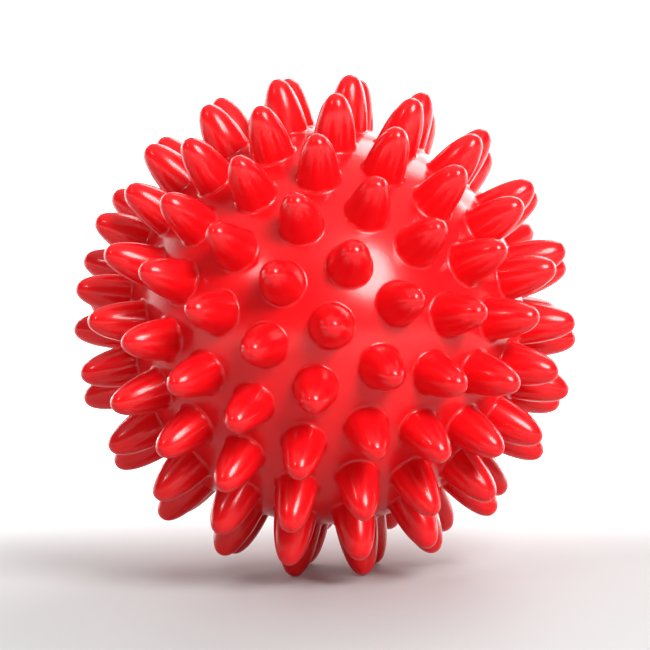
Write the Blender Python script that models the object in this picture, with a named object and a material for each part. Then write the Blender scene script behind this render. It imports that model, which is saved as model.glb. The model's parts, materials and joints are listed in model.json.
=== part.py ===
"""Spiked massage ball: a hollow moulded shell with its spikes, a valve insert and a push-in plug.

Row frame: origin at the ball's centre, +Z up. The ball lies as it does on a table, on the spikes
named in FEET. The front is -Y, and the valve is on the far side from it.
"""
import math

import bpy
import bmesh
import numpy as np
from mathutils import Matrix, Vector
from mathutils.geometry import delaunay_2d_cdt

# ---- driving dimensions, in metres and degrees ----
TIP_RADIUS = 0.0450          # centre of the ball to the end of every spike
CORE_RADIUS = 0.0354         # outside of the round wall between the spikes
WALL_THICKNESS = 0.0024

# A spike is the blunt end of a long superellipse turned about its axis, cut off by the wall.
SPIKE_HALF_LENGTH = 0.0137
SPIKE_HALF_WIDTH = 0.0039
SPIKE_BLUNTNESS = 2.3        # the superellipse's exponent: 2 is a plain ellipse, more is blunter
SPIKE_SIDES = 8
SPIKE_STATIONS = (0.54, 0.20, 0.045)   # depths of a spike's rings, as parts of its height

# Spikes stand in rings about the mould axis, one ring every RING_PITCH from each pole to the
# parting line. A staggered ring starts half a pitch round from the others.
RING_COUNTS = (6, 12, 16, 18, 20)
RING_PITCH = 180.0 / 11.0
RIGHT_STAGGER = (0.0, 0.5, 0.5, 0.0, 0.0)
LEFT_STAGGER = (0.0, 0.0, 0.5, 0.0, 0.5)
LEFT_HALF_TURN = 37.0        # the left mould half is clocked round from the right one

# Spikes are named (half, ring from the pole, place in the ring).
FEET = (("right", 4, 0), ("right", 5, 19), ("right", 5, 0))
VALVE_SITE = ("left", 3, 2)  # the valve takes the place of this spike
VALVE_BEARING = 210.0        # direction the valve faces, counted from -Y towards +X

LAND_RADIUS = 0.0053         # flat round the valve
HOLE_RADIUS = 0.0039
FLANGE_RADIUS = 0.0049
FLANGE_THICKNESS = 0.0011
NECK_RADIUS = 0.0036
NECK_LENGTH = 0.0062
SEAT_RADIUS = 0.0036
SEAT_DEPTH = 0.0006
BORE_RADIUS = 0.0023
HEAD_RADIUS = 0.0033
HEAD_THICKNESS = 0.0011
STEM_RADIUS = 0.0020
STEM_LENGTH = 0.0075
LEAD_IN_DEPTH = 0.0005       # how far the stem's end is narrowed, and over what length
LEAD_IN_LENGTH = 0.0010
EDGE_BREAK = 0.00025
GAP = 0.0003                 # clearance between pieces that touch

ROUND_SIDES = 28
INNER_POINTS = 340           # spread over the hollow's sphere
THROAT_MARGIN = math.radians(3.4)   # kept free of those points, round the valve hole
SHARP_ANGLE = math.radians(40.0)    # edges that bend more than this are shaded as corners
NEAR_VERTICAL = 0.9          # above this Z share, a direction takes its side axes from X
SKIN_TOLERANCE = 1e-9
MERGE_DISTANCE = 1e-6

RED = (0.78, 0.012, 0.018, 1.0)
DEEP_RED = (0.62, 0.010, 0.016, 1.0)
WHITE = (0.86, 0.86, 0.83, 1.0)
GLOSSY = 0.16
SATIN = 0.30
MATT = 0.38


def clear_scene():
    for item in list(bpy.data.objects):
        bpy.data.objects.remove(item, do_unlink=True)


def material(name, colour, roughness):
    made = bpy.data.materials.new(name)
    made.use_nodes = True
    shader = made.node_tree.nodes["Principled BSDF"]
    shader.inputs["Base Color"].default_value = colour
    shader.inputs["Roughness"].default_value = roughness
    made.diffuse_color = colour
    return made


def spike_directions():
    """Unit direction of every spike about the mould axis, which is local Z."""
    places = {("right", 0, 0): np.array([0.0, 0.0, 1.0]), ("left", 0, 0): np.array([0.0, 0.0, -1.0])}
    halves = (("right", RIGHT_STAGGER, 0.0, 1.0), ("left", LEFT_STAGGER, LEFT_HALF_TURN, -1.0))
    for half, stagger, turn, side in halves:
        for ring, count in enumerate(RING_COUNTS, start=1):
            polar = math.radians(ring * RING_PITCH)
            for place in range(count):
                around = math.radians(turn + (place + stagger[ring - 1]) * 360.0 / count)
                places[(half, ring, place)] = np.array([
                    math.sin(polar) * math.cos(around),
                    math.sin(polar) * math.sin(around),
                    side * math.cos(polar),
                ])
    return places


def lying_frame(places):
    """Rows are the row frame's X, Y and Z in mould coordinates: FEET level, the valve on its bearing."""
    first, second, third = (places[name] for name in FEET)
    down = np.cross(second - first, third - first)
    down /= np.linalg.norm(down)
    if down @ first < 0.0:
        down = -down
    up = -down
    out = places[VALVE_SITE] - (places[VALVE_SITE] @ up) * up
    out /= np.linalg.norm(out)
    across = np.cross(up, out)
    bearing = math.radians(VALVE_BEARING)
    x_axis = math.sin(bearing) * out + math.cos(bearing) * across
    y_axis = np.cross(up, x_axis)
    return np.array([x_axis, y_axis, up])


def side_axes(direction):
    """Two unit vectors square to a direction and to each other."""
    helper = np.array([0.0, 0.0, 1.0]) if abs(direction[2]) < NEAR_VERTICAL else np.array([1.0, 0.0, 0.0])
    first = np.cross(helper, direction)
    first /= np.linalg.norm(first)
    return first, np.cross(direction, first)


def circle(direction, height, radius, sides):
    first, second = side_axes(direction)
    turns = [2.0 * math.pi * i / sides for i in range(sides)]
    return [direction * height + radius * (math.cos(t) * first + math.sin(t) * second) for t in turns]


def spike_radius(depth):
    """Radius of a spike at a depth below its tip."""
    along = (1.0 - depth / SPIKE_HALF_LENGTH) ** SPIKE_BLUNTNESS
    return SPIKE_HALF_WIDTH * (1.0 - along) ** (1.0 / SPIKE_BLUNTNESS)


def spherical_skin(points, pole):
    """Triangles over points on a sphere, open where the loop nearest the pole is.

    The points are projected from the pole on to a plane, where a flat Delaunay mesh of them is
    the same as the one on the sphere.
    """
    first, second = side_axes(pole)
    flat = []
    for point in points:
        unit = point / np.linalg.norm(point)
        reach = 1.0 / (1.0 - unit @ pole)
        flat.append(Vector(((unit @ first) * reach, (unit @ second) * reach)))
    faces = delaunay_2d_cdt(flat, [], [], 0, SKIN_TOLERANCE)[2]
    return [tuple(face) for face in faces]


def fibonacci_points(count, radius):
    """Points spread evenly over a sphere."""
    golden = math.pi * (3.0 - math.sqrt(5.0))
    points = []
    for i in range(count):
        height = 1.0 - 2.0 * (i + 0.5) / count
        ring = math.sqrt(1.0 - height * height)
        points.append(radius * np.array([ring * math.cos(golden * i), ring * math.sin(golden * i), height]))
    return points


def finish(name, mesh_builder, slot):
    bmesh.ops.recalc_face_normals(mesh_builder, faces=mesh_builder.faces)
    mesh = bpy.data.meshes.new(name)
    mesh_builder.to_mesh(mesh)
    mesh_builder.free()
    for face in mesh.polygons:
        face.use_smooth = True
    mesh.set_sharp_from_angle(angle=SHARP_ANGLE)
    mesh.materials.append(slot)
    made = bpy.data.objects.new(name, mesh)
    bpy.context.scene.collection.objects.link(made)
    return made


def bridge(mesh_builder, lower, upper):
    """A band of quads between two closed loops of the same length."""
    count = len(lower)
    for i in range(count):
        j = (i + 1) % count
        mesh_builder.faces.new((lower[i], lower[j], upper[j], upper[i]))


def spiked_shell(directions, valve, slot):
    """The one-piece moulded wall with every spike, hollow inside, open only at the valve hole."""
    body = bmesh.new()
    spike_height = TIP_RADIUS - CORE_RADIUS
    base_radius = spike_radius(spike_height)
    base_height = math.sqrt(CORE_RADIUS ** 2 - base_radius ** 2)
    land_height = math.sqrt(CORE_RADIUS ** 2 - LAND_RADIUS ** 2)

    outer_points = []
    owners = []
    for number, direction in enumerate(directions):
        outer_points += circle(direction, base_height, base_radius, SPIKE_SIDES)
        owners += [number] * SPIKE_SIDES
    outer_points += circle(valve, land_height, LAND_RADIUS, ROUND_SIDES)
    owners += ["valve"] * ROUND_SIDES

    outer = [body.verts.new(point) for point in outer_points]
    for face in spherical_skin(outer_points, valve):
        if len({owners[i] for i in face}) > 1:
            body.faces.new([outer[i] for i in face])

    # A ring's corners stand a little outside the true circle, so that the volume stays the same.
    corner_reach = 1.0 / math.sqrt(math.cos(math.pi / SPIKE_SIDES))
    for number, direction in enumerate(directions):
        loop = outer[number * SPIKE_SIDES:(number + 1) * SPIKE_SIDES]
        for station in SPIKE_STATIONS:
            depth = station * spike_height
            ring = circle(direction, TIP_RADIUS - depth, spike_radius(depth) * corner_reach, SPIKE_SIDES)
            upper = [body.verts.new(point) for point in ring]
            bridge(body, loop, upper)
            loop = upper
        tip = body.verts.new(direction * TIP_RADIUS)
        for i in range(SPIKE_SIDES):
            body.faces.new((loop[i], loop[(i + 1) % SPIKE_SIDES], tip))

    land = outer[-ROUND_SIDES:]
    mouth = [body.verts.new(point) for point in circle(valve, land_height, HOLE_RADIUS, ROUND_SIDES)]
    bridge(body, land, mouth)

    inner_radius = CORE_RADIUS - WALL_THICKNESS
    throat_height = math.sqrt(inner_radius ** 2 - HOLE_RADIUS ** 2)
    clear = inner_radius * math.cos(math.asin(HOLE_RADIUS / inner_radius) + THROAT_MARGIN)
    inner_points = [point for point in fibonacci_points(INNER_POINTS, inner_radius) if point @ valve < clear]
    edge = len(inner_points)
    inner_points += circle(valve, throat_height, HOLE_RADIUS, ROUND_SIDES)
    inner = [body.verts.new(point) for point in inner_points]
    for face in spherical_skin(inner_points, valve):
        if min(face) < edge:
            body.faces.new([inner[i] for i in face])
    bridge(body, mouth, inner[edge:])
    return finish("spiked_shell", body, slot)


def turned(name, profile, slot):
    """A piece turned about its own Z axis from (radius, height) pairs that go round its section."""
    body = bmesh.new()
    corners = [body.verts.new((radius, 0.0, height)) for radius, height in profile]
    edges = [body.edges.new(pair) for pair in zip(corners, corners[1:])]
    if profile[0][0] > 0.0:
        edges.append(body.edges.new((corners[-1], corners[0])))
    bmesh.ops.spin(
        body,
        geom=corners + edges,
        cent=(0.0, 0.0, 0.0),
        axis=(0.0, 0.0, 1.0),
        angle=2.0 * math.pi,
        steps=ROUND_SIDES,
        use_merge=True,
    )
    bmesh.ops.remove_doubles(body, verts=body.verts, dist=MERGE_DISTANCE)
    return finish(name, body, slot)


def valve_insert(slot):
    """Flanged tube that lines the valve hole and seats the plug."""
    foot = math.sqrt(CORE_RADIUS ** 2 - LAND_RADIUS ** 2) + GAP
    top = foot + FLANGE_THICKNESS
    end = foot - NECK_LENGTH
    profile = (
        (BORE_RADIUS, end),
        (NECK_RADIUS - EDGE_BREAK, end),
        (NECK_RADIUS, end + EDGE_BREAK),
        (NECK_RADIUS, foot),
        (FLANGE_RADIUS, foot),
        (FLANGE_RADIUS, top - EDGE_BREAK),
        (FLANGE_RADIUS - EDGE_BREAK, top),
        (SEAT_RADIUS, top),
        (SEAT_RADIUS, top - SEAT_DEPTH),
        (BORE_RADIUS, top - SEAT_DEPTH),
    )
    return turned("valve_insert", profile, slot)


def valve_plug(slot):
    """Push-in stopper: a flat head on a plain stem with a lead-in."""
    land = math.sqrt(CORE_RADIUS ** 2 - LAND_RADIUS ** 2)
    under = land + GAP + FLANGE_THICKNESS - SEAT_DEPTH + GAP
    top = under + HEAD_THICKNESS
    end = under - STEM_LENGTH
    profile = (
        (0.0, end),
        (STEM_RADIUS - LEAD_IN_DEPTH, end),
        (STEM_RADIUS, end + LEAD_IN_LENGTH),
        (STEM_RADIUS, under),
        (HEAD_RADIUS, under),
        (HEAD_RADIUS, top - EDGE_BREAK),
        (HEAD_RADIUS - EDGE_BREAK, top),
        (0.0, top),
    )
    return turned("valve_plug", profile, slot)


def guide(name, parent, turn):
    """An empty that turns what is parented to it."""
    empty = bpy.data.objects.new(name, None)
    bpy.context.scene.collection.objects.link(empty)
    empty.parent = parent
    empty.matrix_local = Matrix(turn.tolist()).to_4x4()
    return empty


def build():
    clear_scene()
    places = spike_directions()
    valve = places[VALVE_SITE]
    directions = [way for name, way in places.items() if name != VALVE_SITE]
    first, second = side_axes(valve)
    lying_ball = guide("lying_ball", None, lying_frame(places))
    valve_axis = guide("valve_axis", lying_ball, np.column_stack([first, second, valve]))

    shell = spiked_shell(directions, valve, material("shell_pvc", RED, GLOSSY))
    insert = valve_insert(material("insert_pvc", DEEP_RED, SATIN))
    plug = valve_plug(material("plug_polyethylene", WHITE, MATT))
    shell.parent = lying_ball
    insert.parent = valve_axis
    plug.parent = valve_axis


build()
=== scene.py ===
import json
import math

import bpy
import bmesh
import numpy as np
from mathutils import Matrix, Vector
from mathutils.geometry import delaunay_2d_cdt


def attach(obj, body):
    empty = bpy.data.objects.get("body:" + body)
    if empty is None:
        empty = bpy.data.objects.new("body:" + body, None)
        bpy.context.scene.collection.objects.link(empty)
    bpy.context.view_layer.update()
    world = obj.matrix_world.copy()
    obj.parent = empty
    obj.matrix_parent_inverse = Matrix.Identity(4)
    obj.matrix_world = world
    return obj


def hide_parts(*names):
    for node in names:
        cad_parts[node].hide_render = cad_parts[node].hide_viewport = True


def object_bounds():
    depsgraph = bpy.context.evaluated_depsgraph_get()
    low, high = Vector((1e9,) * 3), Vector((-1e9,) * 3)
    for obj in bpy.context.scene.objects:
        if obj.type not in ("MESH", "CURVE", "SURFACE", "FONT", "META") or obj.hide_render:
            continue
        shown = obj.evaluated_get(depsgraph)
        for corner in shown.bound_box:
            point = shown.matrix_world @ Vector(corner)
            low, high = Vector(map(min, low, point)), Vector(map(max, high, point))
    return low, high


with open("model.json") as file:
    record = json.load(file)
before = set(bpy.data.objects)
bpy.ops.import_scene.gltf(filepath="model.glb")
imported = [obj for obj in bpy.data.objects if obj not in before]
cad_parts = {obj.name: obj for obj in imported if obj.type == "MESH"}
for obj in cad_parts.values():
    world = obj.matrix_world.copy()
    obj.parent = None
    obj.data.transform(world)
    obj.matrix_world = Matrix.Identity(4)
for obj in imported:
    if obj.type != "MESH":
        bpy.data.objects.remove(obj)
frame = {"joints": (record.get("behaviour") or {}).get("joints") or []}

CAD_BOX = [list(corner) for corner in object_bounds()]

# ---- sizes, in metres and degrees: the same design as the CAD solids ----
TIP_RADIUS = 0.0450          # centre of the ball to the end of every spike
CORE_RADIUS = 0.0354         # outside of the round wall between the spikes
WALL_THICKNESS = 0.0024

# A spike is the blunt end of a long superellipse turned about its axis, cut off by the wall.
SPIKE_HALF_LENGTH = 0.0137
SPIKE_HALF_WIDTH = 0.0039
SPIKE_BLUNTNESS = 2.3        # the superellipse's exponent: 2 is a plain ellipse, more is blunter
SPIKE_FILLET = 0.0007        # hollow rounding where a spike meets the wall

# Spikes stand in rings about the mould axis, one ring every RING_PITCH from each pole to the
# parting line. A staggered ring starts half a pitch round from the others.
RING_COUNTS = (6, 12, 16, 18, 20)
RING_PITCH = 180.0 / 11.0
RIGHT_STAGGER = (0.0, 0.5, 0.5, 0.0, 0.0)
LEFT_STAGGER = (0.0, 0.0, 0.5, 0.0, 0.5)
LEFT_HALF_TURN = 37.0        # the left mould half is clocked round from the right one

# Spikes are named (half, ring from the pole, place in the ring).
FEET = (("right", 4, 0), ("right", 5, 19), ("right", 5, 0))
VALVE_SITE = ("left", 3, 2)  # the valve takes the place of this spike

# The valve: a flanged insert in a hole in the wall, and the plug that closes its bore.
LAND_RADIUS = 0.0053         # flat round the valve
LAND_BLEND = 0.0002          # softening between the wall and that flat
HOLE_RADIUS = 0.0039
HOLE_LIP = 0.00025           # rounding of the hole's edge
FLANGE_RADIUS = 0.0049
FLANGE_THICKNESS = 0.0011
NECK_RADIUS = 0.0036
NECK_LENGTH = 0.0062
SEAT_RADIUS = 0.0036         # sunk seat for the plug's head, in the flange
SEAT_DEPTH = 0.0006
BORE_RADIUS = 0.0023
INSERT_ROUNDING = 0.00018
HEAD_RADIUS = 0.0033
HEAD_THICKNESS = 0.0011
STEM_RADIUS = 0.0020
STEM_LENGTH = 0.0075
LEAD_IN_DEPTH = 0.0005       # how far the stem's end is narrowed, and over what length
LEAD_IN_LENGTH = 0.0010
BEAD_DEPTHS = (0.0028, 0.0048)   # sealing beads on the plug's stem, below its head
BEAD_HALF_WIDTH = 0.0003
BEAD_RISE = 0.00018
GROOVE_RADIUS = 0.0023       # inner edge of the round groove in the plug's head
GROOVE_WIDTH = 0.00022
GROOVE_DEPTH = 0.00010
GATE_MARK_RADIUS = 0.00045   # dimple in the middle of the head, as deep as the groove
GATE_MARK_FLOOR = 0.6        # its flat bottom, as a share of its radius
PLUG_ROUNDING = 0.00012
GAP = 0.0003                 # clearance between pieces that touch

LAND_HEIGHT = math.sqrt(CORE_RADIUS ** 2 - LAND_RADIUS ** 2)
FLANGE_FOOT = LAND_HEIGHT + GAP
FLANGE_TOP = FLANGE_FOOT + FLANGE_THICKNESS
SEAT_FLOOR = FLANGE_TOP - SEAT_DEPTH

# ---- fineness ----
SPIKE_SIDES = 28
SPIKE_STEPS = 14
SPIKE_STEP_GROWTH = 1.3      # above 1, a spike's steps are shorter near its tip
FILLET_STEPS = 7
LIP_STEPS = 4
BISECTIONS = 50
VALVE_SIDES = 64
ROUNDING_SEGMENTS = 3
SHARP_ANGLE = 30.0           # degrees: edges of the valve's pieces that bend more are rounded
WALL_POINTS = 9000           # spread over the whole sphere; those under a spike are left out
HOLLOW_POINTS = 1500
WALL_MARGIN = 0.012          # radians kept free of those points, round a spike or the flat
THROAT_MARGIN = 0.024        # the same, round the valve hole inside
NEAR_VERTICAL = 0.9          # above this Z share, a direction takes its side axes from X
SKIN_TOLERANCE = 1e-9
MERGE_DISTANCE = 1e-6

# ---- materials ----
WHITE = (1.0, 1.0, 1.0, 1.0)
PVC_SCATTER = (1.0, 0.12, 0.08)      # how far red, green and blue light spreads inside, as shares
WAX_SCATTER = (1.0, 0.90, 0.75)

# ---- camera, stage and light, in metres, degrees and watts ----
CAMERA_BEARING = 0.31        # round from -Y towards +X
CAMERA_ELEVATION = 6.66
CAMERA_ROLL = -1.85
CAMERA_DISTANCE = 0.98
CAMERA_LENS = 305.0          # millimetres, as is the sensor's width
CAMERA_SENSOR = 36.0
CAMERA_CLIP = (0.05, 50.0)

# The floor has a painted glow of its own, which is the stronger of two: one comes up all round, with the
# distance from below the ball's centre, and the other behind it, with the distance along +Y. This painted
# light whitens the floor away from the ball and washes out the ball's shadow behind it.
FLOOR_HEIGHT = CAD_BOX[0][2]
FLOOR_HALF_SIZE = 8.0
FLOOR_FAR_FADE = (0.20, 1.0)
FLOOR_FAR_GLOW = 1.5
FLOOR_BACK_FADE = (0.00, 0.16)
FLOOR_BACK_GLOW = 1.6

# Brightness of the studio, by the sine of the elevation looked at.
STUDIO_GLOW = ((0.00, 1.2), (0.03, 1.2), (0.10, 0.10), (0.60, 0.10), (0.80, 0.65), (1.00, 0.65))

# A bright wall behind the ball adds to that. It fades in with the +Y share of the direction looked
# in, and out again with its +Z share.
WALL_GLOW = 2.9
WALL_SIDE_FADE = (0.15, 0.60)
WALL_TOP_FADE = (0.28, 0.50)

# Name, direction from the ball's centre, distance, width, height and power of each softbox.
SOFTBOXES = (
    ("key", (0.41, -0.71, 0.57), 1.2, 0.56, 0.64, 20.5),
    ("fill", (-0.60, -0.55, 0.60), 1.5, 0.20, 0.20, 2.4),
    ("rim_left", (-0.55, 0.82, 0.22), 1.3, 0.14, 0.90, 3.0),
    ("rim_right", (0.65, 0.75, 0.22), 1.3, 0.14, 0.90, 3.0),
    ("rim_top", (0.30, 0.72, 0.65), 1.3, 0.60, 0.60, 5.0),
)


def put(name, data):
    """A new object in the scene."""
    made = bpy.data.objects.new(name, data)
    bpy.context.scene.collection.objects.link(made)
    return made


# ---- directions and points round the ball ----
def spike_directions():
    """Unit direction of every spike about the mould axis, which is local Z."""
    places = {("right", 0, 0): np.array([0.0, 0.0, 1.0]), ("left", 0, 0): np.array([0.0, 0.0, -1.0])}
    halves = (("right", RIGHT_STAGGER, 0.0, 1.0), ("left", LEFT_STAGGER, LEFT_HALF_TURN, -1.0))
    for half, stagger, turn, side in halves:
        for ring, count in enumerate(RING_COUNTS, start=1):
            polar = math.radians(ring * RING_PITCH)
            for place in range(count):
                around = math.radians(turn + (place + stagger[ring - 1]) * 360.0 / count)
                places[(half, ring, place)] = np.array([
                    math.sin(polar) * math.cos(around),
                    math.sin(polar) * math.sin(around),
                    side * math.cos(polar),
                ])
    return places


def lying_frame(places, valve):
    """Rows are the row frame's axes in mould coordinates: FEET level, the valve facing as given."""
    first, second, third = (places[name] for name in FEET)
    down = np.cross(second - first, third - first)
    down /= np.linalg.norm(down)
    if down @ first < 0.0:
        down = -down
    up = -down
    out = places[VALVE_SITE] - (places[VALVE_SITE] @ up) * up
    out /= np.linalg.norm(out)
    across = np.cross(up, out)
    bearing = math.atan2(valve[0], -valve[1])
    x_axis = math.sin(bearing) * out + math.cos(bearing) * across
    y_axis = np.cross(up, x_axis)
    return np.array([x_axis, y_axis, up])


def side_axes(direction):
    """Two unit vectors square to a direction and to each other."""
    helper = np.array([0.0, 0.0, 1.0]) if abs(direction[2]) < NEAR_VERTICAL else np.array([1.0, 0.0, 0.0])
    first = np.cross(helper, direction)
    first /= np.linalg.norm(first)
    return first, np.cross(direction, first)


def circle(direction, height, radius, sides):
    """Points of a circle round a direction, and the unit vectors from its middle to them."""
    first, second = side_axes(direction)
    turns = 2.0 * np.pi * np.arange(sides) / sides
    rim = np.outer(np.cos(turns), first) + np.outer(np.sin(turns), second)
    return direction * height + radius * rim, rim


def fibonacci_points(count, radius):
    """Points spread evenly over a sphere."""
    golden = math.pi * (3.0 - math.sqrt(5.0))
    heights = 1.0 - 2.0 * (np.arange(count) + 0.5) / count
    rings = np.sqrt(1.0 - heights ** 2)
    turns = golden * np.arange(count)
    return radius * np.column_stack([rings * np.cos(turns), rings * np.sin(turns), heights])


def points_clear_of(obstacles, count, radius):
    """Points spread evenly over a sphere, less those within an angle of an obstacle's directions."""
    points = fibonacci_points(count, radius)
    clear = np.ones(count, dtype=bool)
    for directions, angle in obstacles:
        facing = points @ np.array(directions).T / radius
        clear &= facing.max(axis=1) < math.cos(angle)
    return points[clear]


# ---- outlines of stations, each a (radius, height) and the normal there, as (outward, along) ----
def spike_side(angle):
    """Point and normal on a spike's superellipse, at a parameter angle round from the tip."""
    across = math.sin(angle) ** (2.0 / SPIKE_BLUNTNESS)
    along = math.cos(angle) ** (2.0 / SPIKE_BLUNTNESS)
    outward = across ** (SPIKE_BLUNTNESS - 1.0) / SPIKE_HALF_WIDTH
    upward = along ** (SPIKE_BLUNTNESS - 1.0) / SPIKE_HALF_LENGTH
    length = math.hypot(outward, upward)
    point = (SPIKE_HALF_WIDTH * across, TIP_RADIUS - SPIKE_HALF_LENGTH * (1.0 - along))
    return point, (outward / length, upward / length)


def fillet_centre(angle):
    """Centre of the fillet that touches a spike at this angle."""
    point, normal = spike_side(angle)
    return point[0] + SPIKE_FILLET * normal[0], point[1] + SPIKE_FILLET * normal[1]


def fillet_start():
    """Angle at which the spike's side ends, where its fillet touches the wall as well."""
    low, high = 0.25 * math.pi, 0.5 * math.pi
    for _ in range(BISECTIONS):
        middle = 0.5 * (low + high)
        if math.hypot(*fillet_centre(middle)) > CORE_RADIUS + SPIKE_FILLET:
            low = middle
        else:
            high = middle
    return low


def spike_outline():
    """A spike from just below its tip to the wall: its side, then a hollow fillet on to the sphere."""
    foot = fillet_start()
    outline = []
    for i in range(1, SPIKE_STEPS + 1):
        point, normal = spike_side(foot * (i / SPIKE_STEPS) ** SPIKE_STEP_GROWTH)
        outline.append((*point, *normal))
    centre = fillet_centre(foot)
    normal = spike_side(foot)[1]
    start = math.atan2(-normal[1], -normal[0])
    end = math.atan2(-centre[1], -centre[0])
    for i in range(1, FILLET_STEPS + 1):
        angle = start + (end - start) * i / FILLET_STEPS
        away = (math.cos(angle), math.sin(angle))
        outline.append((
            centre[0] + SPIKE_FILLET * away[0],
            centre[1] + SPIKE_FILLET * away[1],
            -away[0],
            -away[1],
        ))
    return outline


def valve_land_outline():
    """The flat round the valve hole, from the wall inwards and over the hole's rounded edge."""
    edge = LAND_RADIUS + LAND_BLEND
    lean = edge / CORE_RADIUS
    outline = [
        (edge, math.sqrt(CORE_RADIUS ** 2 - edge ** 2), lean, math.sqrt(1.0 - lean ** 2)),
        (LAND_RADIUS - LAND_BLEND, LAND_HEIGHT, 0.0, 1.0),
    ]
    for i in range(LIP_STEPS + 1):
        angle = 0.5 * math.pi * i / LIP_STEPS
        outline.append((
            HOLE_RADIUS + HOLE_LIP * (1.0 - math.sin(angle)),
            LAND_HEIGHT - HOLE_LIP * (1.0 - math.cos(angle)),
            -math.sin(angle),
            math.cos(angle),
        ))
    return outline


# ---- the shell's fine surface ----
class Skin:
    """Points with their own normals, and the faces between them."""

    def __init__(self):
        self.points = []
        self.normals = []
        self.faces = []

    def add(self, points, normals):
        """New points; gives back their indices."""
        start = len(self.points)
        self.points.extend(points)
        self.normals.extend(normals)
        return list(range(start, len(self.points)))

    def loops(self, direction, outline, sides):
        """A circle round a direction at each (radius, height, outward, along) station."""
        made = []
        for radius, height, outward, along in outline:
            points, rim = circle(direction, height, radius, sides)
            made.append(self.add(points, outward * rim + along * direction))
        return made

    def bands(self, loops):
        """Faces between each loop and the next."""
        for first, second in zip(loops, loops[1:]):
            for i in range(len(first)):
                j = (i + 1) % len(first)
                self.faces.append((first[i], first[j], second[j], second[i]))

    def cap(self, loop, hub):
        """Triangles from a loop to one point."""
        for i in range(len(loop)):
            self.faces.append((loop[i], loop[(i + 1) % len(loop)], hub))

    def cover_sphere(self, loops, loose, pole):
        """Triangles over a sphere between loops and loose points, with each loop left open.

        The points are projected from the pole, inside the first loop, on to a plane, where a flat
        Delaunay mesh of them is the same as the one on the sphere. A triangle with all its corners
        on one loop is left out, so each loose point counts as an owner of its own.
        """
        owner = {index: number for number, loop in enumerate(loops) for index in loop}
        indices = [index for loop in loops for index in loop] + loose
        first, second = side_axes(pole)
        flat = []
        for index in indices:
            unit = self.points[index] / np.linalg.norm(self.points[index])
            reach = 1.0 / (1.0 - unit @ pole)
            flat.append(Vector(((unit @ first) * reach, (unit @ second) * reach)))
        for face in delaunay_2d_cdt(flat, [], [], 0, SKIN_TOLERANCE)[2]:
            corners = [indices[i] for i in face]
            owners = {owner.get(index, -index - 1) for index in corners}
            if len(owners) > 1:
                self.faces.append(tuple(corners))

    def mesh(self, name):
        """The skin as a mesh that is shaded with its own normals."""
        made = bpy.data.meshes.new(name)
        made.from_pydata([tuple(p) for p in self.points], [], self.faces)
        work = bmesh.new()
        work.from_mesh(made)
        bmesh.ops.recalc_face_normals(work, faces=work.faces)
        work.to_mesh(made)
        work.free()
        made.shade_smooth()
        normals = [tuple(n / np.linalg.norm(n)) for n in self.normals]
        made.normals_split_custom_set_from_vertices(normals)
        return made


def cover_outside(skin, land, directions, valve):
    """Every spike, and the wall between the spikes and the flat round the valve."""
    outline = spike_outline()
    bases = []
    for direction in directions:
        tip = skin.add([direction * TIP_RADIUS], [direction])[0]
        loops = skin.loops(direction, outline, SPIKE_SIDES)
        skin.cap(loops[0], tip)
        skin.bands(loops)
        bases.append(loops[-1])

    spike_reach = outline[-1][0] / CORE_RADIUS + WALL_MARGIN
    land_reach = (LAND_RADIUS + LAND_BLEND) / CORE_RADIUS + WALL_MARGIN
    obstacles = ((directions, spike_reach), ([valve], land_reach))
    points = points_clear_of(obstacles, WALL_POINTS, CORE_RADIUS)
    loose = skin.add(list(points), list(points / CORE_RADIUS))
    skin.cover_sphere([land[0]] + bases, loose, valve)


def cover_inside(skin, land, valve):
    """The valve hole from its edge down to the hollow, and the hollow."""
    radius = CORE_RADIUS - WALL_THICKNESS
    station = (HOLE_RADIUS, math.sqrt(radius ** 2 - HOLE_RADIUS ** 2), -1.0, 0.0)
    throat = skin.loops(valve, [station], VALVE_SIDES)[0]
    skin.bands([land[-1], throat])
    obstacles = (([valve], HOLE_RADIUS / radius + THROAT_MARGIN),)
    points = points_clear_of(obstacles, HOLLOW_POINTS, radius)
    loose = skin.add(list(points), list(-points / radius))
    skin.cover_sphere([throat], loose, valve)


def spiked_shell(directions, valve):
    """The hollow ball in one piece: its wall, its spikes and its valve hole."""
    skin = Skin()
    land = skin.loops(valve, valve_land_outline(), VALVE_SIDES)
    skin.bands(land)
    cover_outside(skin, land, directions, valve)
    cover_inside(skin, land, valve)
    return put("ball_shell", skin.mesh("ball_shell"))


# ---- the valve's turned pieces ----
def turned(name, profile, axis, rounding_width):
    """A piece turned about the valve axis from (radius, height) pairs that go round its section."""
    body = bmesh.new()
    corners = [body.verts.new((radius, 0.0, height)) for radius, height in profile]
    edges = [body.edges.new(pair) for pair in zip(corners, corners[1:])]
    # A section that starts off the axis goes round a bore, so it is closed.
    if profile[0][0] > 0.0:
        edges.append(body.edges.new((corners[-1], corners[0])))
    bmesh.ops.spin(
        body,
        geom=corners + edges,
        cent=(0.0, 0.0, 0.0),
        axis=(0.0, 0.0, 1.0),
        angle=2.0 * math.pi,
        steps=VALVE_SIDES,
        use_merge=True,
    )
    bmesh.ops.remove_doubles(body, verts=body.verts, dist=MERGE_DISTANCE)
    bmesh.ops.recalc_face_normals(body, faces=body.faces)
    first, second = side_axes(axis)
    body.transform(Matrix(np.column_stack([first, second, axis]).tolist()).to_4x4())
    mesh = bpy.data.meshes.new(name)
    body.to_mesh(mesh)
    body.free()
    mesh.shade_smooth()
    made = put(name, mesh)
    rounding = made.modifiers.new("rounded_edges", "BEVEL")
    rounding.width = rounding_width
    rounding.segments = ROUNDING_SEGMENTS
    rounding.limit_method = "ANGLE"
    rounding.angle_limit = math.radians(SHARP_ANGLE)
    rounding.harden_normals = True
    return made


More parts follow.
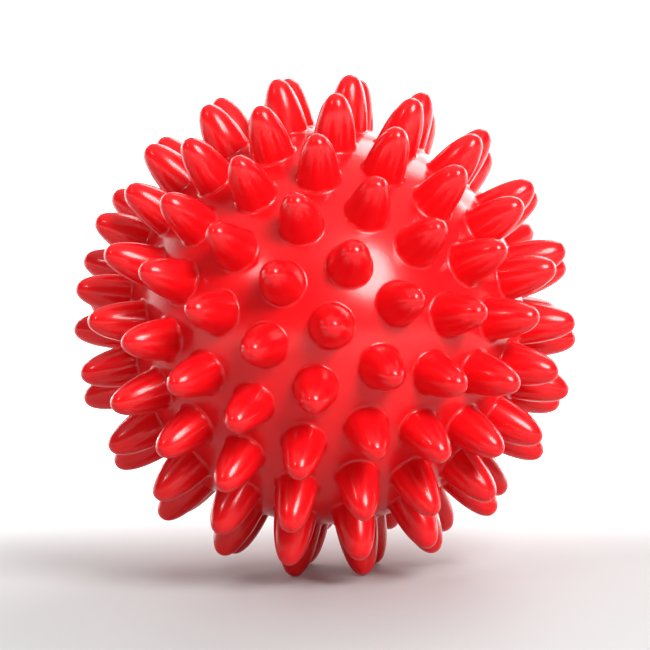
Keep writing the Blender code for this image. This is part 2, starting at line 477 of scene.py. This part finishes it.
def valve_insert(axis):
    """A flanged tube that lines the hole in the wall, with a sunk seat round its bore."""
    end = FLANGE_FOOT - NECK_LENGTH
    profile = (
        (BORE_RADIUS, end),
        (NECK_RADIUS, end),
        (NECK_RADIUS, FLANGE_FOOT),
        (FLANGE_RADIUS, FLANGE_FOOT),
        (FLANGE_RADIUS, FLANGE_TOP),
        (SEAT_RADIUS, FLANGE_TOP),
        (SEAT_RADIUS, SEAT_FLOOR),
        (BORE_RADIUS, SEAT_FLOOR),
    )
    return turned("valve_insert_ring", profile, axis, INSERT_ROUNDING)


def valve_plug(axis):
    """A push-in stopper: a grooved flat head, and a stem with sealing beads."""
    under = SEAT_FLOOR + GAP
    top = under + HEAD_THICKNESS
    end = under - STEM_LENGTH
    profile = [(0.0, end), (STEM_RADIUS - LEAD_IN_DEPTH, end), (STEM_RADIUS, end + LEAD_IN_LENGTH)]
    for depth in BEAD_DEPTHS:
        height = under - depth
        profile += [
            (STEM_RADIUS, height - BEAD_HALF_WIDTH),
            (STEM_RADIUS + BEAD_RISE, height),
            (STEM_RADIUS, height + BEAD_HALF_WIDTH),
        ]
    profile += [
        (STEM_RADIUS, under),
        (HEAD_RADIUS, under),
        (HEAD_RADIUS, top),
        (GROOVE_RADIUS + GROOVE_WIDTH, top),
        (GROOVE_RADIUS + 0.5 * GROOVE_WIDTH, top - GROOVE_DEPTH),
        (GROOVE_RADIUS, top),
        (GATE_MARK_RADIUS, top),
        (GATE_MARK_FLOOR * GATE_MARK_RADIUS, top - GROOVE_DEPTH),
        (0.0, top - GROOVE_DEPTH),
    ]
    return turned("valve_plug_stopper", profile, axis, PLUG_ROUNDING)


# ---- shader nodes ----
def fade(tree, source, span, first, last):
    """A smooth change from one value to another as the source crosses the span."""
    made = tree.nodes.new("ShaderNodeMapRange")
    made.interpolation_type = "SMOOTHSTEP"
    ends = {"From Min": span[0], "From Max": span[1], "To Min": first, "To Max": last}
    for socket, value in ends.items():
        made.inputs[socket].default_value = value
    tree.links.new(source, made.inputs["Value"])
    return made.outputs["Result"]


def reckon(tree, operation, *terms):
    """The result of a maths node on its terms, which are sockets or plain numbers."""
    made = tree.nodes.new("ShaderNodeMath")
    made.operation = operation
    for place, term in zip(made.inputs, terms):
        if isinstance(term, float):
            place.default_value = term
        else:
            tree.links.new(term, place)
    return made.outputs["Value"]


def straight_curve(tree, source, stops):
    """A value that runs straight from one (position, value) stop to the next.

    A curve node reaches no higher than 1, so the highest stop is given back beside it, to multiply by.
    """
    made = tree.nodes.new("ShaderNodeFloatCurve")
    peak = max(value for _, value in stops)
    curve = made.mapping.curves[0]
    # A new curve has two points already.
    for index, (position, value) in enumerate(stops):
        if index < 2:
            curve.points[index].location = (position, value / peak)
        else:
            curve.points.new(position, value / peak)
    for point in curve.points:
        point.handle_type = "VECTOR"
    made.mapping.update()
    tree.links.new(source, made.inputs["Value"])
    return made.outputs["Value"], peak


class Nodes:
    """A material's nodes round its shader, with textures in the object's own coordinates."""

    def __init__(self, name):
        self.material = bpy.data.materials.new(name)
        self.material.use_nodes = True
        self.tree = self.material.node_tree
        self.shader = self.tree.nodes["Principled BSDF"]

    def add(self, kind, **inputs):
        """A node with values for its inputs, whose names have _ for each space."""
        node = self.tree.nodes.new(kind)
        for socket, value in inputs.items():
            node.inputs[socket.replace("_", " ")].default_value = value
        return node

    def link(self, source, target):
        self.tree.links.new(source, target)

    def set(self, **sockets):
        """Values that are the same all over, on the shader's own sockets."""
        for socket, value in sockets.items():
            self.shader.inputs[socket.replace("_", " ")].default_value = value

    def noise(self, scale, detail):
        """Noise from 0 to 1, with scale in features per metre."""
        where = self.add("ShaderNodeTexCoord")
        made = self.add("ShaderNodeTexNoise", Scale=scale, Detail=detail)
        self.link(where.outputs["Object"], made.inputs["Vector"])
        return made.outputs["Fac"]

    def mottle(self, scale, detail, first, second):
        """A base colour that drifts between two colours."""
        source = self.noise(scale, detail)
        made = self.tree.nodes.new("ShaderNodeMix")
        made.data_type = "RGBA"
        made.inputs["A"].default_value = first
        made.inputs["B"].default_value = second
        self.link(source, made.inputs["Factor"])
        self.link(made.outputs["Result"], self.shader.inputs["Base Color"])

    def haze(self, scale, detail, low, high):
        """A roughness that drifts between two values."""
        source = self.noise(scale, detail)
        made = self.add("ShaderNodeMapRange", To_Min=low, To_Max=high)
        self.link(source, made.inputs["Value"])
        self.link(made.outputs["Result"], self.shader.inputs["Roughness"])

    def grain(self, scale, detail, height, strength):
        """Fine unevenness of the surface."""
        source = self.noise(scale, detail)
        made = self.add("ShaderNodeBump", Distance=height, Strength=strength)
        self.link(source, made.inputs["Height"])
        self.link(made.outputs["Normal"], self.shader.inputs["Normal"])


# ---- materials ----
def shell_pvc():
    """Glossy, slightly translucent soft PVC with the faint unevenness of a moulded skin."""
    nodes = Nodes("shell_pvc_look")
    nodes.set(IOR=1.45, Specular_IOR_Level=0.37)
    nodes.set(Subsurface_Weight=0.60, Subsurface_Scale=0.0030, Subsurface_Radius=PVC_SCATTER)
    nodes.set(Coat_Weight=0.20, Coat_Roughness=0.34, Coat_IOR=1.45)
    nodes.mottle(scale=60.0, detail=3.0, first=(0.67, 0.003, 0.006, 1.0), second=(0.75, 0.004, 0.008, 1.0))
    nodes.haze(scale=400.0, detail=4.0, low=0.15, high=0.22)
    nodes.grain(scale=900.0, detail=2.0, height=0.00002, strength=0.6)
    return nodes.material


def insert_pvc():
    """The same PVC with a satin tool finish, a little deeper in colour."""
    nodes = Nodes("insert_pvc_look")
    nodes.set(IOR=1.50)
    nodes.set(Subsurface_Weight=0.15, Subsurface_Scale=0.001, Subsurface_Radius=PVC_SCATTER)
    nodes.mottle(scale=300.0, detail=3.0, first=(0.60, 0.006, 0.010, 1.0), second=(0.70, 0.010, 0.015, 1.0))
    nodes.haze(scale=1500.0, detail=4.0, low=0.26, high=0.40)
    nodes.grain(scale=3000.0, detail=3.0, height=0.00002, strength=0.8)
    return nodes.material


def plug_polyethylene():
    """Milky, waxy polyethylene with a fine matt grain."""
    nodes = Nodes("plug_polyethylene_look")
    nodes.set(IOR=1.51)
    nodes.set(Subsurface_Weight=0.35, Subsurface_Scale=0.0012, Subsurface_Radius=WAX_SCATTER)
    nodes.mottle(scale=350.0, detail=3.0, first=(0.38, 0.38, 0.36, 1.0), second=(0.45, 0.45, 0.43, 1.0))
    nodes.haze(scale=2500.0, detail=4.0, low=0.32, high=0.48)
    nodes.grain(scale=4000.0, detail=3.0, height=0.00002, strength=0.8)
    return nodes.material


def stage_white():
    """Matt pale floor with a painted glow far away and at the back, which whitens it there and washes out
    the ball's shadow behind it.
    """
    nodes = Nodes("stage_white")
    nodes.set(Roughness=0.65, Emission_Color=WHITE)
    nodes.mottle(scale=3.0, detail=2.0, first=(0.42, 0.42, 0.42, 1.0), second=(0.45, 0.45, 0.45, 1.0))
    where = nodes.add("ShaderNodeTexCoord").outputs["Object"]
    away = nodes.add("ShaderNodeVectorMath")
    away.operation = "LENGTH"
    nodes.link(where, away.inputs[0])
    split = nodes.add("ShaderNodeSeparateXYZ")
    nodes.link(where, split.inputs["Vector"])
    far = fade(nodes.tree, away.outputs["Value"], FLOOR_FAR_FADE, 0.0, FLOOR_FAR_GLOW)
    back = fade(nodes.tree, split.outputs["Y"], FLOOR_BACK_FADE, 0.0, FLOOR_BACK_GLOW)
    # painted light: the floor's own glow, the stronger of the far and the back glow, stands in for light
    # where the ball would shade it
    glow = reckon(nodes.tree, "MAXIMUM", far, back)
    nodes.link(glow, nodes.shader.inputs["Emission Strength"])
    return nodes.material


# ---- stage, light and camera ----
def add_floor():
    mesh = bpy.data.meshes.new("floor")
    body = bmesh.new()
    bmesh.ops.create_grid(body, x_segments=1, y_segments=1, size=FLOOR_HALF_SIZE)
    body.to_mesh(mesh)
    body.free()
    mesh.materials.append(stage_white())
    floor = put("floor", mesh)
    floor.location.z = FLOOR_HEIGHT


def add_softbox(name, direction, distance, width, height, watts):
    """An oval area light that faces the ball's centre."""
    light = bpy.data.lights.new(name, "AREA")
    light.shape = "ELLIPSE"
    light.size = width
    light.size_y = height
    light.energy = watts
    item = put(name, light)
    item.location = Vector(direction).normalized() * distance
    item.rotation_euler = (-item.location).to_track_quat("-Z", "Y").to_euler()


def add_world():
    """A pale horizon, a dim band above it and a diffuser overhead, with a bright wall behind."""
    world = bpy.data.worlds.new("studio")
    world.use_nodes = True
    tree = world.node_tree
    background = tree.nodes["Background"]
    where = tree.nodes.new("ShaderNodeTexCoord")
    split = tree.nodes.new("ShaderNodeSeparateXYZ")
    tree.links.new(where.outputs["Generated"], split.inputs["Vector"])
    height = split.outputs["Z"]
    studio, peak = straight_curve(tree, height, STUDIO_GLOW)
    behind = fade(tree, split.outputs["Y"], WALL_SIDE_FADE, 0.0, WALL_GLOW)
    below = fade(tree, height, WALL_TOP_FADE, 1.0, 0.0)
    wall = reckon(tree, "MULTIPLY", behind, below)
    glow = reckon(tree, "MULTIPLY_ADD", studio, peak, wall)
    tree.links.new(glow, background.inputs["Strength"])
    background.inputs["Color"].default_value = WHITE
    bpy.context.scene.world = world


def add_camera():
    data = bpy.data.cameras.new("camera")
    data.lens = CAMERA_LENS
    data.sensor_width = CAMERA_SENSOR
    data.clip_start, data.clip_end = CAMERA_CLIP
    bearing = math.radians(CAMERA_BEARING)
    rise = math.radians(CAMERA_ELEVATION)
    back = Vector((
        math.sin(bearing) * math.cos(rise),
        -math.cos(bearing) * math.cos(rise),
        math.sin(rise),
    ))
    camera = put("camera", data)
    camera.rotation_mode = "QUATERNION"
    camera.location = back * CAMERA_DISTANCE
    roll = Matrix.Rotation(math.radians(CAMERA_ROLL), 4, "Z").to_quaternion()
    camera.rotation_quaternion = (-back).to_track_quat("-Z", "Y") @ roll
    bpy.context.scene.camera = camera


# ---- the ball ----
def dress(piece, node, body, material):
    """The piece stands for a CAD node, rides on its body and takes its finish."""
    piece.data.materials.append(material)
    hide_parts(node)
    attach(piece, body)


def build():
    """The ball as it lies, and the studio round it. The plug's joint gives the valve's direction."""
    places = spike_directions()
    valve = np.array(frame["joints"][0]["axis"], dtype=float)
    valve /= np.linalg.norm(valve)
    to_row = lying_frame(places, valve)
    directions = [to_row @ way for name, way in places.items() if name != VALVE_SITE]

    shell = spiked_shell(directions, valve)
    dress(shell, "spiked_shell", "ball", shell_pvc())
    dress(valve_insert(valve), "valve_insert", "ball", insert_pvc())
    dress(valve_plug(valve), "valve_plug", "plug", plug_polyethylene())

    add_floor()
    add_world()
    for softbox in SOFTBOXES:
        add_softbox(*softbox)
    add_camera()
    bpy.context.scene.view_settings.view_transform = "Standard"


build()
